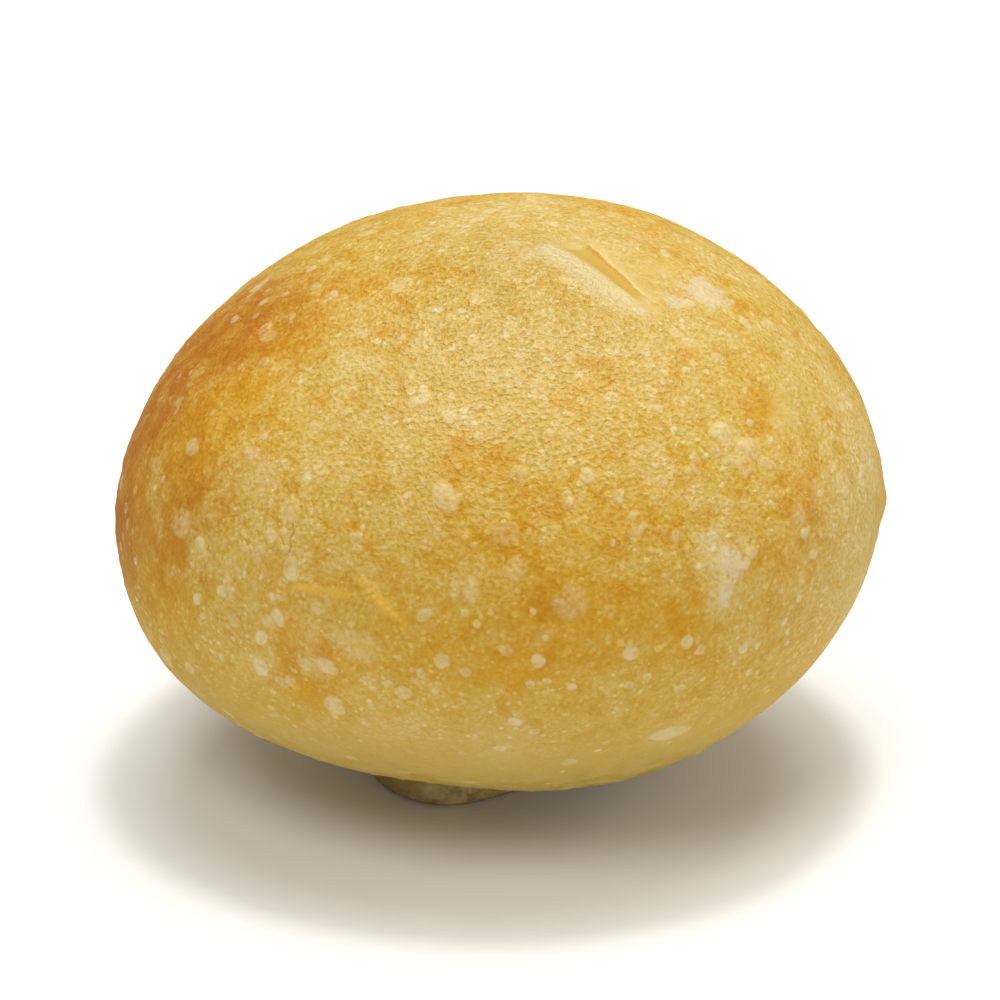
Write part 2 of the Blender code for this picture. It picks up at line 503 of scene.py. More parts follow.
def bubbleLayer(tree, place, name, crowd):
    # how domed the skin is here, from 0 outside a bubble to 1 at its middle, and its own tone
    layer = bubbles[name]
    spacing, least = layer["spacing"], layer["least"]
    bent = warped(tree, place, spacing * bubbles["warpSize"], spacing * bubbles["warp"])
    cell = tree.cells(bent, spacing)
    chance = tree.split(cell.output("Color"))
    radius = least + chance.output("Y") * (layer["most"] - least)
    present = (crowd * (layer["share"] * 2) - chance).ramp(0.0, 0.06)
    dome = (1.0 - (cell / radius) ** 2.0).atLeast(0.0) * present
    return dome, chance.output("Z")


def bubbleCrowd(tree, place):
    # from few bubbles to many, in wide clouds
    return tree.noise(place, bubbles["crowdSize"], 2.0).ramp(0.3, 0.7) * 0.8 + 0.1


# relief that follows the whole crust

crustRelief = {
    "lumpSize": 11 * mm,
    "lumpHeight": 0.3 * mm,
    "dimpleSize": 3.6 * mm,
    "dimpleHeight": 0.1 * mm,
    "grainSize": 0.9 * mm,
    "grainHeight": 0.04 * mm,
    "bubbleHeight": 0.07 * mm,
    "footSize": 1.5 * mm,
    "footHeight": 0.3 * mm,
    "flatFoot": 1.2 * mm,  # the relief fades out below this
}


def groupWith(name, sizes, finished=False):
    # a geometry node group with a named input for every size, its tree and its input node
    group = bpy.data.node_groups.new(name, "GeometryNodeTree")
    inputs = {"Geometry": "NodeSocketGeometry"}
    for size, value in sizes.items():
        inputs[size] = "NodeSocketInt" if isinstance(value, int) else "NodeSocketFloat"
    if finished:
        inputs["finish"] = "NodeSocketMaterial"
    for socket, kind in inputs.items():
        group.interface.new_socket(socket, in_out="INPUT", socket_type=kind)
    group.interface.new_socket("Geometry", in_out="OUTPUT", socket_type="NodeSocketGeometry")
    tree = treeOf(group)
    return group, tree, tree.add("NodeGroupInput")


def giveModifier(obj, group, values):
    modifier = obj.modifiers.new(group.name, "NODES")
    modifier.node_group = group
    for item in group.interface.items_tree:
        if item.in_out == "INPUT" and item.name in values:
            modifier[item.identifier] = values[item.name]


def namedValue(tree, name):
    kind = {"data_type": "FLOAT"}
    return tree.add("GeometryNodeInputNamedAttribute", kind, {"Name": name})


def reliefGroup():
    group, tree, start = groupWith("crustRelief", crustRelief)
    place = tree.add("GeometryNodeInputPosition")
    normal = tree.add("GeometryNodeInputNormal")

    def wave(sizeName, heightName, detail):
        sockets = {"Vector": place, "Scale": start.output(sizeName) ** -1.0, "Detail": detail}
        return (tree.add("ShaderNodeTexNoise", {}, sockets) - 0.5) * start.output(heightName) * 2

    height = wave("lumpSize", "lumpHeight", 1.0)
    height = height + wave("dimpleSize", "dimpleHeight", 1.0)
    height = height + wave("grainSize", "grainHeight", 2.0)
    dome = bubbleLayer(tree, place, "wide", bubbleCrowd(tree, place))[0]
    height = height + dome * start.output("bubbleHeight")
    height = height * (1.0 - namedValue(tree, "calm") * 0.75)
    rough = wave("footSize", "footHeight", 3.0) * namedValue(tree, "sole")
    # there is none on the face that the roll rests on
    above = tree.split(place).output("Z").ramp(0.0, start.output("flatFoot"))
    offset = tree.scaled(normal, (height + rough) * above)
    sockets = {"Geometry": start.output("Geometry"), "Offset": offset}
    moved = tree.add("GeometryNodeSetPosition", {}, sockets)
    tree.add("NodeGroupOutput", {}, {"Geometry": moved})
    return group


# materials

crustLooks = {
    # the colour of the valleys and of the ridges between them
    "golden": (srgb(187, 144, 10), srgb(210, 184, 112)),
    "toastAndShade": (srgb(190, 134, 0), srgb(206, 166, 56)),
    # darkest brown, also used as painted shade on the left flank
    "deepAndShade": (srgb(164, 94, 0), srgb(184, 120, 0)),
    "creamAndHighlight": (srgb(195, 162, 66), srgb(215, 196, 148)),
    "straw": (srgb(174, 149, 48), srgb(187, 167, 102)),
    # the foot's own pale skin, painted lighter to stand for light from the bright floor under the
    # roll
    "sole": (srgb(196, 168, 104), srgb(236, 218, 168)),
    # painted shade for the foot's darkest side
    "footShade": srgb(134, 106, 56),
    "pit": srgb(112, 84, 38),
    # painted shade where the body meets the foot
    "seamShade": srgb(140, 104, 44),
    "pale": srgb(212, 193, 146),
    "torn": srgb(206, 189, 154),
    # painted shade in the groove's bed
    "bedShade": srgb(190, 152, 54),
    # painted shade in the crease along the groove's steep side
    "creaseShade": srgb(170, 130, 34),
    # painted highlight along the groove's lip
    "lip": srgb(222, 192, 116),
    "strip": srgb(212, 194, 144),
    "fold": srgb(230, 182, 72),
    "crack": srgb(156, 106, 20),
    "grainSize": 0.32 * mm,
    "wrinkleSize": 0.43 * mm,
    "wrinkleHeight": 0.4 * mm,
    "wrinkleWarp": (1.5 * mm, 0.2 * mm),  # how wide and how strong the push is
    "crackWarp": (0.7 * mm, 0.3 * mm),
    "crackEdge": (0.02 * mm, 0.15 * mm),
    "crackDepth": 0.04 * mm,
    "grainHeight": 0.03 * mm,
    "tearSize": 1.5 * mm,
    "tearRaggedness": 1.8,
    "tearEdge": (0.42, 0.68),
    "roughness": 0.85,
    "oilyRoughness": 0.26,
}

# noise on the skin: size, detail, roughness, and the range of it that is stretched to 0..1
skinPatterns = {
    "clouds": (7.5 * mm, 2.0, 0.5, 0.3, 0.7),
    "blotches": (2.4 * mm, 3.0, 0.6, 0.25, 0.75),
    "foldBreaks": (2.2 * mm, 2.0, 0.5, 0.3, 0.5),
    "pits": (1.2 * mm, 3.0, 0.6, 0.32, 0.58),
    "blisterPatches": (0.9 * mm, 2.0, 0.5, 0.3, 0.65),
    "specks": (0.8 * mm, 3.0, 0.6, 0.54, 0.7),
    "whitish": (0.6 * mm, 3.0, 0.6, 0.3, 0.62),
}

# how strongly each layer of colour covers the ones before it
colourLayers = {
    "crack": 1.0,
    "pit": 0.6,
    "footShade": 0.8,
    "torn": 1.0,
    "strip": 0.72,
    "lip": 0.8,
    "bedShade": 0.8,
    "creaseShade": 0.28,
    "seamShade": 0.7,
    "fold": 0.9,
}

grooveLooks = {
    "wanderSize": 2.6 * mm,
    "edgeWander": 0.5 * mm,
    "stripWander": 3.0 * mm,
    # across the groove from its steep side: where each line comes in and where it goes out
    "lip": ((-0.4 * mm, -0.15 * mm), (-0.12 * mm, 0.0)),
    "creaseShade": ((-0.1 * mm, 0.0), (0.1 * mm, 1.2 * mm)),
    "bedShade": ((-0.1 * mm, 0.1 * mm), (0.0, 1.0 * mm)),
    "strip": ((-0.6 * mm, 0.9 * mm), (2.0 * mm, 6.0 * mm)),
    # the half widths at which the bed's painted shade ends and the strip starts
    "bedEnd": 0.8,
    "stripStart": 1.3,
    # the same along the groove, as a share of its length
    "ends": ((-0.06, 0.02), (0.9, 1.1)),
    "stripEnds": ((-0.25, -0.05), (0.9, 1.3)),
}

# how far the painted patch, the clouds, the blotches and the grain push each tone, and its level
crustTones = {
    "toastAndShade": (1.3, 0.32, 0.5, 0.6, -0.1),
    "deepAndShade": (1.0, 0.0, 0.5, 0.3, 0.0),
    "creamAndHighlight": (1.1, -0.25, -0.4, 0.6, -0.05),
}

# what makes a spot a pale ridge of skin and not a darker valley
ridgeLooks = {
    "level": 0.28,
    "wrinkle": 0.6,
    "upperWrinkle": 0.9,
    "grain": 0.45,
    "blotch": 0.15,
    "specks": 0.3,
    "domes": {"fine": 0.75, "middle": 0.9, "wide": 0.5},
    "smoothLevel": 0.45,
    "calm": 0.85,
    "plain": (1.4, 0.8),
    "torn": 0.5,
    "lowestBlotch": 2.0,
}

# ranges of the underside's share: 0 at its top, 1 on the floor
undersideLooks = {
    "below": (0.15, 0.75),
    "lowest": (0.45, 0.72),
    "lowestTexture": 0.65,
}

crustSheen = {
    "IOR": 1.45,
    "Specular IOR Level": 0.32,
}


def attribute(tree, name):
    return tree.add("ShaderNodeAttribute", {"attribute_name": name}, {}, "Fac")


def pattern(tree, place, name):
    size, detail, roughness, low, high = skinPatterns[name]
    return tree.noise(place, size, detail, roughness).ramp(low, high)


def wrinkles(tree, place):
    # tiny ridges packed side by side, low in the valleys and high on the tops
    bent = warped(tree, place, *crustLooks["wrinkleWarp"])
    return tree.noise(bent, crustLooks["wrinkleSize"], 1.5)


def crackLines(tree, place):
    # darkest along the middle of each fine crack
    lines = None
    outward = tree.unit(tree.sum(warped(tree, place, *crustLooks["crackWarp"]), -heart))
    for start, end, darkness in crustDents["cracks"]:
        first = directionOf(*start)
        along = directionOf(*end) - first
        away = tree.sum(outward, -first)
        share = (tree.dot(away, along) * (1 / along.length_squared)).clamped()
        across = tree.sum(away, tree.scaled(along, share * -1.0))
        off = tree.dot(across, across) ** 0.5 * rollRadius
        line = (1.0 - off.ramp(*crustLooks["crackEdge"])) * darkness
        lines = line if lines is None else lines.atLeast(line)
    return lines


def skinOf(tree, place):
    # what the colour and the bumps share
    crowd = bubbleCrowd(tree, place)
    return {
        "fine": bubbleLayer(tree, place, "fine", 0.5),
        "middle": bubbleLayer(tree, place, "middle", crowd),
        "wide": bubbleLayer(tree, place, "wide", crowd),
        "wrinkle": wrinkles(tree, place),
        "crack": crackLines(tree, place),
        "grain": tree.noise(place, crustLooks["grainSize"], 2.0, 0.6),
    }


def grooveLines(tree, place):
    # a pale strip beside the groove, a painted highlight on its lip, and painted shade on its bed
    # and in the crease between them
    groove, looks = crustDents["groove"], grooveLooks
    first, last = (directionOf(*groove[end]) for end in ("start", "end"))
    along = (last - first).normalized()
    side = along.cross(first + last).normalized()
    outward = tree.unit(tree.sum(place, -heart))
    facing = tree.dot(outward, first + last).ramp(0.5, 1.0)
    away = tree.sum(outward, -(first + last) / 2)
    wander = tree.noise(place, looks["wanderSize"], 2.0) - 0.5
    share = tree.dot(away, along) * (1 / (last - first).length) + 0.5
    wide = groove["halfWidth"] * (1.0 - share.clamped() * groove["taper"])
    across = tree.dot(away, side) * rollRadius + wander * looks["edgeWander"]

    def between(name, coming, going):
        start, end = looks[name]
        return coming.ramp(*start) * (1.0 - going.ramp(*end))

    edge = across + wide
    past = across - wide * looks["stripStart"] + wander * looks["stripWander"]
    ends = between("ends", share, share) * facing
    return {
        "strip": between("strip", past, past) * between("stripEnds", share, share) * facing,
        # painted highlight on the groove's lip
        "lip": between("lip", edge, edge) * ends,
        "bedShade": between("bedShade", edge, across - wide * looks["bedEnd"]) * ends,
        "creaseShade": between("creaseShade", edge, edge) * ends,
    }


def belowOf(tree):
    # 0 on the flanks, 1 on the underside
    return attribute(tree, "underside").ramp(*undersideLooks["below"])


def lowestOf(tree):
    # 1 next to the foot
    return attribute(tree, "underside").ramp(*undersideLooks["lowest"])


def plainOf(tree):
    # the skin is plainest halfway down the underside
    return belowOf(tree) * (1.0 - lowestOf(tree) * undersideLooks["lowestTexture"])


def cloudsOf(tree, place):
    # wide clouds and smaller blotches of tone, both about 0
    plain, even = plainOf(tree), attribute(tree, "upper") * 0.4 + 0.6
    textured = 1.0 - attribute(tree, "calm") * 0.6
    clouds = (pattern(tree, place, "clouds") - 0.5) * (1.0 - plain * 0.6) * even
    blotches = (pattern(tree, place, "blotches") - 0.5) * (1.0 - plain * 0.75) * textured
    return clouds, blotches * even


def ridgesOf(tree, place, skin, blotches, torn):
    # 0 in the darker valleys of the skin, 1 on its pale ridges and blisters
    looks = ridgeLooks
    strength = looks["wrinkle"] + attribute(tree, "upper") * looks["upperWrinkle"]
    ridge = (skin["wrinkle"] - 0.5) * strength + (skin["grain"] - 0.5) * looks["grain"]
    specks = pattern(tree, place, "specks") * looks["specks"]
    ridge = ridge - blotches * looks["blotch"] + looks["level"] + specks
    for name, most in looks["domes"].items():
        dome, tone = skin[name]
        ridge = ridge.atLeast(0.0) + dome.ramp(0.0, 0.7) * (tone - 0.05) * most
    gain, limit = looks["plain"]
    smooth = attribute(tree, "calm") * looks["calm"]
    smooth = smooth.atLeast((plainOf(tree) * gain).atMost(limit)).atLeast(torn * looks["torn"])
    ridge = (ridge.clamped() - looks["smoothLevel"]) * (1.0 - smooth) + looks["smoothLevel"]
    return (ridge - blotches * lowestOf(tree) * looks["lowestBlotch"]).clamped()


def crustColour(tree, place, skin):
    looks, grain = crustLooks, skin["grain"] - 0.5
    clouds, blotches = cloudsOf(tree, place)
    tones = {}
    for name, (own, wide, small, fine, level) in crustTones.items():
        tone = attribute(tree, name) * own + clouds * wide + blotches * small + grain * fine
        tones[name] = (tone + level).clamped()
    ragged = (tree.noise(place, looks["tearSize"], 4.0, 0.6) - 0.5) * looks["tearRaggedness"]
    torn = (attribute(tree, "torn") + ragged).ramp(*looks["tearEdge"])
    straw, sole = belowOf(tree) * 0.7, attribute(tree, "sole")
    sides = []
    for side in (0, 1):
        colour = looks["golden"][side]
        for name, tone in tones.items():
            colour = tree.mixColour(tone, colour, looks[name][side])
        colour = tree.mixColour(straw, colour, looks["straw"][side])
        sides.append(tree.mixColour(sole * 0.9, colour, looks["sole"][side]))
    colour = tree.mixColour(ridgesOf(tree, place, skin, blotches, torn), *sides)
    amounts = {
        "crack": skin["crack"],
        "pit": sole * (1.0 - pattern(tree, place, "pits")),
        "footShade": attribute(tree, "footShade"),
        "torn": torn * (pattern(tree, place, "whitish") * 0.5 + 0.22),
        "seamShade": attribute(tree, "seamShade"),
        "fold": attribute(tree, "folded") * pattern(tree, place, "foldBreaks"),
        **grooveLines(tree, place),
    }
    for name, strength in colourLayers.items():
        colour = tree.mixColour(amounts[name] * strength, colour, looks[name])
    return colour


def skinBump(tree, skin, strength):
    # heights are in metres
    looks = crustLooks
    height = skin["wrinkle"] * looks["wrinkleHeight"] + skin["grain"] * looks["grainHeight"]
    share = attribute(tree, "oily") * 0.95 + 0.38 - belowOf(tree) * 0.2
    height = height * (1.0 - attribute(tree, "calm") * 0.8) * share
    height = height - skin["crack"] * looks["crackDepth"]
    for name in ("fine", "middle"):
        height = height + skin[name][0] * bubbles[name]["rise"]
    sockets = {"Strength": strength, "Distance": 1.0, "Height": height}
    return tree.add("ShaderNodeBump", {}, sockets)


def skinRoughness(tree, skin):
    # the crown shines, the flanks hardly do
    oily, looks = attribute(tree, "oily"), crustLooks
    dull = looks["roughness"] + (looks["oilyRoughness"] - looks["roughness"]) * oily
    return (dull + (skin["grain"] - 0.5) * 0.3).clamped()


def newMaterial(name):
    material = bpy.data.materials.new(name)
    material.use_nodes = True
    tree = treeOf(material.node_tree)
    place = tree.add("ShaderNodeTexCoord", {}, {}, "Object")
    return material, tree, place


def finishMaterial(tree, constants, varying):
    shader = tree.add("ShaderNodeBsdfPrincipled", {}, {**constants, **varying})
    tree.add("ShaderNodeOutputMaterial", {}, {"Surface": shader})


def finishSkin(tree, skin, colour, bumpStrength):
    varying = {
        "Base Color": colour,
        "Roughness": skinRoughness(tree, skin),
        "Normal": skinBump(tree, skin, bumpStrength),
    }
    finishMaterial(tree, crustSheen, varying)


def crustMaterial():
    material, tree, place = newMaterial("crust")
    skin = skinOf(tree, place)
    finishSkin(tree, skin, crustColour(tree, place, skin), 1.0)
    return material


def blisterMaterial():
    # thin raised skin: the crust's own colour at its edge, paler inside by each blister's tone
    material, tree, place = newMaterial("blisterSkin")
    skin = skinOf(tree, place)
    crown, tone, flaky = (attribute(tree, name) for name in ("crown", "tone", "flaky"))
    edge = crown.ramp(0.06, 0.6).atLeast(flaky * crown.ramp(0.0, 0.3))
    patchy = pattern(tree, place, "blisterPatches") * 0.55 + 0.45
    pale = tone * patchy + (skin["wrinkle"] - 0.5) * 0.6
    pale = (pale * (1.0 - attribute(tree, "upper") * 0.4) * edge).clamped()
    colour = tree.mixColour(pale, crustColour(tree, place, skin), crustLooks["pale"])
    finishSkin(tree, skin, colour, 0.6)
    return material


# blisters scattered over the crust

smallBlisters = {
    "perSquareMetre": 70000.0,
    "smallest": 0.35 * mm,
    "largest": 0.95 * mm,
    "rarity": 2.0,
    "flatness": 0.13,
    "sides": 12,
    "rings": 5,
    "wobble": 0.16 * mm,
    "seed": 7,
}

largeBlisters = {
    "perSquareMetre": 6000.0,
    "smallest": 0.8 * mm,
    "largest": 1.5 * mm,
    "rarity": 1.8,
    "flatness": 0.09,
    "sides": 24,
    "rings": 8,
    "wobble": 0.24 * mm,
    "seed": 23,
}

# what both sizes of blister share
blisterLooks = {
    "crowd": (1.8, 0.1),  # what crowded clouds add, and what there is between them
    "undersideShare": 0.15,
    # more of them again where the underside is lowest
    "lowest": (0.4, 0.65),
    "lowestShare": 0.9,
    "stretch": (0.8, 1.2),
    "riseVariation": (0.5, 1.3),
    "ringCrowding": 0.55,
    "domePower": 1.6,
    "raggedSize": 1.1 * mm,
    "rim": 0.06,
    "rimSink": 0.05 * mm,
}


def storedValue(tree, geometry, domain, name, value):
    settings = {"data_type": "FLOAT", "domain": domain}
    sockets = {"Geometry": geometry, "Name": name, "Value": value}
    return tree.add("GeometryNodeStoreNamedAttribute", settings, sockets)


def blisterDensity(tree, start, place):
    looks = blisterLooks
    crowded, between = looks["crowd"]
    underside = namedValue(tree, "underside")
    fewer = 1.0 - (underside * 2.0).clamped() * (1 - looks["undersideShare"])
    share = fewer + underside.ramp(*looks["lowest"]) * looks["lowestShare"]
    bare = (1.0 - namedValue(tree, "calm")) * (1.0 - namedValue(tree, "sole")) * share
    crowd = bubbleCrowd(tree, place) * crowded + between
    return start.output("perSquareMetre") * crowd * bare


def blisterDisc(tree, start, place):
    # a flat disc of rings that knows how far in each point is, from 0 at the rim to 1 inside
    crowding = blisterLooks["ringCrowding"]
    sockets = {
        "Vertices": start.output("sides"),
        "Side Segments": start.output("rings"),
        "Radius Top": 0.0,
        "Radius Bottom": 1.0,
        "Depth": 1.0,
    }
    cone = tree.add("GeometryNodeMeshCone", {"fill_type": "NGON"}, sockets)
    x = tree.split(place)
    y = x.output("Y")
    square = (x * x + y * y).atLeast(0.0001)
    # rings crowd towards the rim, so that it meets the crust with no step
    outward = square ** ((crowding - 1) / 2)
    crown = (1.0 - square**crowding).atLeast(0.0)
    marked = storedValue(tree, cone, "POINT", "crown", crown)
    flat = tree.add("ShaderNodeCombineXYZ", {}, {"X": x * outward, "Y": y * outward})
    return tree.add("GeometryNodeSetPosition", {}, {"Geometry": marked, "Position": flat})


def layOnCrust(tree, start, place, discs):
    # every point goes to its own height over the crust, the rims a little under it
    looks, crust = blisterLooks, start.output("Geometry")
    ragged = warped(tree, place, looks["raggedSize"], start.output("wobble"))
    settings = {"data_type": "FLOAT_VECTOR"}
    spot, outward = [
        tree.add(
            "GeometryNodeSampleNearestSurface",
            settings,
            {"Mesh": crust, "Value": value, "Sample Position": ragged},
        )
        for value in (place, tree.add("GeometryNodeInputNormal"))
    ]
    crown = namedValue(tree, "crown")
    sink = (1.0 - crown.ramp(0.0, looks["rim"])) * looks["rimSink"]
    lift = namedValue(tree, "rise") * crown ** looks["domePower"] - sink
    lifted = tree.sum(spot, tree.scaled(outward, lift))
    return tree.add("GeometryNodeSetPosition", {}, {"Geometry": discs, "Position": lifted})


def blisterGroup():
    looks = blisterLooks
    group, tree, start = groupWith("blisters", smallBlisters, finished=True)
    place = tree.add("GeometryNodeInputPosition")
    seed = start.output("seed")
    sockets = {
        "Mesh": start.output("Geometry"),
        "Density": blisterDensity(tree, start, place),
        "Seed": seed,
    }
    settings = {"distribute_method": "RANDOM"}
    points = tree.add("GeometryNodeDistributePointsOnFaces", settings, sockets)

    def chance(low, high, shift):
        sockets = {2: low, 3: high, 8: seed + float(shift)}
        return tree.add("FunctionNodeRandomValue", {"data_type": "FLOAT"}, sockets, 1)

    smallest, largest = start.output("smallest"), start.output("largest")
    size = smallest + (largest - smallest) * chance(0.0, 1.0, 1) ** start.output("rarity")
    stretch = chance(*looks["stretch"], 2)
    rise = size * start.output("flatness") * chance(*looks["riseVariation"], 3)
    sockets = {"X": size * stretch, "Y": size / stretch, "Z": 1.0}
    scale = tree.add("ShaderNodeCombineXYZ", {}, sockets)
    sockets = {"Axis": (0.0, 0.0, 1.0), "Angle": chance(0.0, math.tau, 4)}
    spin = tree.add("FunctionNodeAxisAngleToRotation", {}, sockets)
    sockets = {"Rotation": points.output("Rotation"), "Rotate By": spin}
    turned = tree.add("FunctionNodeRotateRotation", {"rotation_space": "LOCAL"}, sockets)
    disc = blisterDisc(tree, start, place)
    sockets = {"Points": points, "Instance": disc, "Rotation": turned, "Scale": scale}
    placed = tree.add("GeometryNodeInstanceOnPoints", {}, sockets)
    placed = storedValue(tree, placed, "INSTANCE", "tone", chance(0.0, 1.0, 5))
    placed = storedValue(tree, placed, "INSTANCE", "rise", rise)
    real = tree.add("GeometryNodeRealizeInstances", {}, {"Geometry": placed})
    laid = layOnCrust(tree, start, place, real)
    sockets = {"Geometry": laid, "Material": start.output("finish")}
    done = tree.add("GeometryNodeSetMaterial", {}, sockets)
    tree.add("NodeGroupOutput", {}, {"Geometry": done})
    return group


def scatter(name, crust, group, sizes, material):
    obj = addObject(name, crust.data.copy())
    giveModifier(obj, group, {**sizes, "finish": material})
    settle(obj)
    paintPatches(obj)
    print(name, "faces:", len(obj.data.polygons))
    return obj


# the marks that stand out: single large blisters, burst skins and torn flakes

markLooks = {
    "sides": 40,
    "rings": 12,
    "ringCrowding": 0.7,
    "flakeThickness": 0.07 * mm,
    "rimSink": 0.06 * mm,
    "innerSink": 0.08 * mm,
    "outlineSeed": 11,
    "curlSeed": 90,
    # how ragged an outline is, and how fast its finer waves fall away
    "outlines": {"flake": (0.42, 1.1), "window": (0.16, 1.5), "blister": (0.16, 1.5)},
    # azimuth, elevation, half width, half height, turn, rise, tone, kind: sizes in millimetres
    "marks": (
        (-47, 27.5, 1.05, 1.05, 0, 0.16, 0.75, "blister"),
        (-44, 23.5, 1.7, 1.25, -35, 0.2, 0.8, "blister"),
        (-41, 20, 0.8, 0.6, -30, 0.1, 0.6, "blister"),
        (-89, 17, 1.55, 1.25, 0, 0.06, 0.4, "window"),
        (-94.5, 8.5, 1.0, 1.3, 0, 0.1, 0.45, "blister"),
        (-79.5, 6.5, 1.9, 2.0, 0, 0.08, 0.4, "blister"),
        (-60, -22, 2.4, 1.4, 0, 0.08, 0.6, "blister"),
        (-39, 11.5, 1.2, 1.2, 0, 0.1, 0.5, "blister"),
        (-38.5, 8.5, 0.75, 0.6, -30, 0.16, 0.95, "blister"),
        (-26, 12.5, 1.6, 2.1, 10, 0.1, 0.3, "window"),
        (-51, -6, 0.7, 0.7, 0, 0.1, 0.8, "blister"),
        (-59, -4, 0.5, 0.7, 0, 0.08, 0.7, "blister"),
        (-105, -9.5, 0.95, 0.95, 0, 0.08, 0.6, "window"),
        (-102, -5.5, 0.55, 0.65, 0, 0.1, 0.85, "blister"),
        (-90, -21.5, 0.75, 0.55, 0, 0.1, 0.9, "blister"),
        (-84.5, -17, 0.65, 0.5, 0, 0.1, 0.8, "blister"),
        (-146, 8.5, 1.6, 1.5, 90, 0.1, 0.45, "window"),
        (-141, 7, 0.8, 0.8, 0, 0.14, 0.95, "blister"),
        (-123, 8, 1.0, 1.3, 0, 0.16, 0.75, "window"),
        (-129.5, 9.5, 1.0, 1.3, 0, 0.08, 0.4, "blister"),
        (-125, 0, 0.75, 1.1, 25, 0.2, 0.95, "blister"),
        (-129.5, -10, 1.05, 1.2, 0, 0.2, 1.0, "blister"),
        (-117, -6.5, 1.35, 0.95, -30, 0.16, 0.75, "blister"),
        (-121, -7, 0.9, 0.8, 0, 0.12, 0.6, "blister"),
        (-118, 3, 0.9, 0.7, 0, 0.1, 0.5, "blister"),
        (-111.5, -2, 2.5, 2.1, 0, 0.1, 0.25, "window"),
        (-127, -1, 0.8, 0.8, 0, 0.1, 0.45, "blister"),
        (-134.5, 3, 0.7, 0.9, 0, 0.1, 0.5, "blister"),
        # sides and back
        (20, 24, 1.6, 1.3, 20, 0.16, 0.7, "blister"),
        (28, 2, 1.0, 1.2, 0, 0.14, 0.6, "window"),
        (52, 30, 2.3, 1.9, 30, 0.12, 0.4, "window"),
        (64, -8, 1.3, 1.1, 0, 0.16, 0.8, "blister"),
        (72, 12, 0.9, 0.9, 0, 0.14, 0.9, "blister"),
        (88, 44, 1.3, 1.0, -20, 0.14, 0.6, "blister"),
        (102, 18, 2.0, 1.6, 60, 0.1, 0.35, "window"),
        (108, -14, 1.1, 1.4, 0, 0.14, 0.7, "blister"),
        (126, 6, 0.8, 0.9, 0, 0.16, 0.95, "blister"),
        (131, 2, 1.2, 1.0, 0, 0.14, 0.7, "blister"),
        (138, 30, 1.5, 1.2, 0, 0.1, 0.45, "window"),
        (156, -4, 1.4, 1.1, 40, 0.16, 0.75, "blister"),
        (166, 20, 1.0, 1.3, 0, 0.12, 0.6, "window"),
        (178, 4, 1.2, 1.2, 0, 0.14, 0.5, "blister"),
        (-172, -14, 1.3, 1.0, 0, 0.14, 0.8, "blister"),
        (-155.5, 40, 1.2, 1.0, 0, 0.1, 0.5, "blister"),
        (155, 59.5, 1.5, 1.1, 10, 0.1, 0.5, "window"),
        (28.5, 64, 1.0, 1.2, 0, 0.1, 0.5, "blister"),
        # torn, whitish skin
        (-54.5, 10, 1.0, 1.9, -35, 0.06, 0.3, "flake"),
        (-52.5, 7, 1.0, 1.3, 15, 0.06, 0.35, "flake"),
        (-56, 4, 1.3, 0.9, 20, 0.06, 0.3, "flake"),
        (-58, 13, 1.2, 0.6, -30, 0.06, 0.40, "flake"),
        (-50.5, 11, 0.9, 0.6, 10, 0.06, 0.44, "flake"),
        (-49.5, 9, 0.8, 0.7, 0, 0.14, 0.8, "blister"),
        (-18.5, 49, 2.2, 1.7, 20, 0.05, 0.35, "flake"),
        (-64, 23.5, 0.9, 0.7, -30, 0.06, 0.50, "flake"),
        (-115.5, -1, 1.0, 0.6, 30, 0.06, 0.52, "flake"),
        (-162.5, 22.5, 0.9, 0.7, 0, 0.06, 0.52, "flake"),
        (46, 14, 2.4, 1.7, 30, 0.06, 0.44, "flake"),
        (96, 32, 1.4, 2.0, 0, 0.06, 0.44, "flake"),
        (146, 14, 2.0, 1.3, -25, 0.06, 0.47, "flake"),
        (80, -16, 1.2, 0.9, 15, 0.06, 0.44, "flake"),
    ),
}


def outlineOf(kind, angle, chance):
    # how far the edge is at each angle, about 1
    ragged, fall = markLooks["outlines"][kind]
    edge = np.ones_like(angle)
    for wave in range(2, 12):
        size = ragged * chance.normal() / wave**fall
        edge += size * np.cos(wave * angle + chance.uniform(0, math.tau))
    return np.clip(edge, 0.35, 1.6)


def liftOf(kind, share, rise, angle, curlTurn):
    # how high the skin stands at each share of the way to the edge: a window is a burst blister
    # with a raised rim, a flake curls up on one side, and a whole blister is a dome
    if kind == "window":
        rim = np.exp(-(((share - 0.78) / 0.15) ** 2))
        return rise * (0.6 * rim + 0.15 * (1 - share**2)) * np.ones_like(angle)
    if kind == "flake":
        curl = np.cos(angle + curlTurn) + 0.4 * np.cos(angle * 3)
        return rise * (0.25 + (0.5 * curl - 0.55) * share**3)
    return rise * (1 - share**2) ** 1.6 * np.ones_like(angle)


